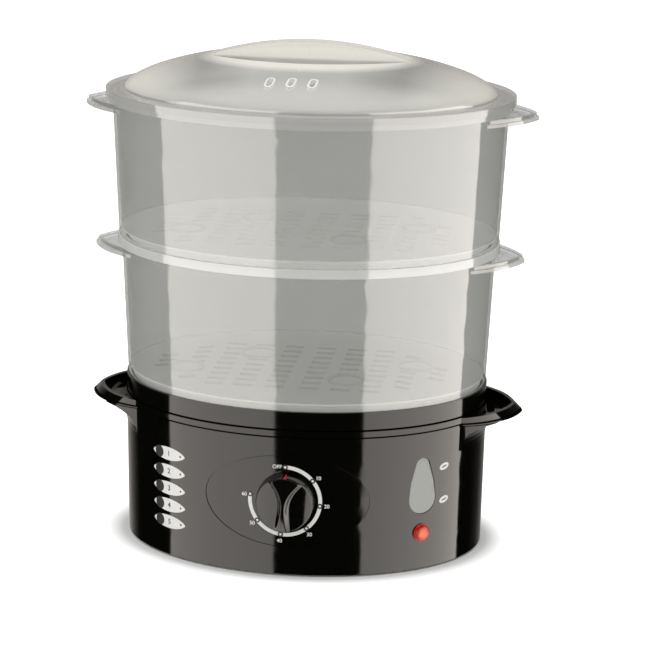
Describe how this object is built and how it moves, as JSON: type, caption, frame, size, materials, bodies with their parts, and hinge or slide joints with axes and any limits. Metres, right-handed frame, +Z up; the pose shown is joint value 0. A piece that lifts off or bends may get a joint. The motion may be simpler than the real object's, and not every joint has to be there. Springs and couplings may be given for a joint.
{
  "type": "electric food steamer",
  "caption": "Oval electric food steamer: black base with timer dial and water scoops, drip tray, nesting translucent bowls with slotted floors and ears, and a domed lid with a grip bar.",
  "frame": {"origin": "on the table under the middle of the oval", "axes": "+Z up the stack, +X towards the right-hand ear seen from the dial, -Y towards the user and the dial"},
  "size_m": [0.3124, 0.2174, 0.3521],
  "materials": {
    "bowl_plastic": "translucent polypropylene, smooth",
    "lid_plastic": "translucent polypropylene, smooth, faintly cream",
    "black_plastic": "polished black",
    "base_plastic": "moulded, plain",
    "gauge_plastic": "clear, frosted behind",
    "red_plastic": "clear red",
    "inner_plastic": "heat resistant, natural colour",
    "lamp_glass": "clear",
    "silicone": "silicone, satin",
    "rubber": "matt",
    "steel": "stainless, fine brushed",
    "screw_steel": "zinc plated"
  },
  "bodies": {
    "base": {"water_tank": "black_plastic", "base_housing": "black_plastic", "level_gauge": "gauge_plastic", "gauge_seal": "silicone", "lamp_lens": "red_plastic", "lamp_holder": "inner_plastic", "neon_lamp": "lamp_glass", "steam_ring": "inner_plastic", "heater_plate": "steel", "heater_seal": "silicone", "heater_element": "steel", "heater_bracket": "steel", "heater_screws": "screw_steel", "thermostat": "inner_plastic", "thermal_fuse": "steel", "timer_case": "inner_plastic", "timer_bell": "steel", "timer_screws": "screw_steel", "terminal_block": "inner_plastic", "cord_bushing": "rubber", "cord_clamp": "inner_plastic", "cord_clamp_screws": "screw_steel", "base_plate": "base_plastic", "base_screws": "screw_steel", "foot_pad_1": "rubber", "foot_pad_2": "rubber", "foot_pad_3": "rubber", "foot_pad_4": "rubber"},
    "knob": {"timer_knob": "black_plastic", "timer_shaft": "steel"},
    "tray": {"drip_tray": "black_plastic"},
    "lower": {"lower_bowl": "bowl_plastic"},
    "upper": {"upper_bowl": "bowl_plastic"},
    "cover": {"lid": "lid_plastic"}
  },
  "joints": [
    {"name": "knob_turn", "type": "hinge", "parent": "base", "child": "knob", "pos_m": [0, -0.1, 0.0542], "axis": [0, 1, 0], "range_deg": [0, 281.5]},
    {"name": "tray_lift", "type": "slide", "parent": "base", "child": "tray", "axis": [0, 0, 1], "range_m": [0, 0.06]},
    {"name": "lower_bowl_lift", "type": "slide", "parent": "tray", "child": "lower", "axis": [0, 0, 1], "range_m": [0, 0.06]},
    {"name": "upper_bowl_lift", "type": "slide", "parent": "lower", "child": "upper", "axis": [0, 0, 1], "range_m": [0, 0.06]},
    {"name": "lid_lift", "type": "slide", "parent": "upper", "child": "cover", "axis": [0, 0, 1], "range_m": [0, 0.08]}
  ]
}
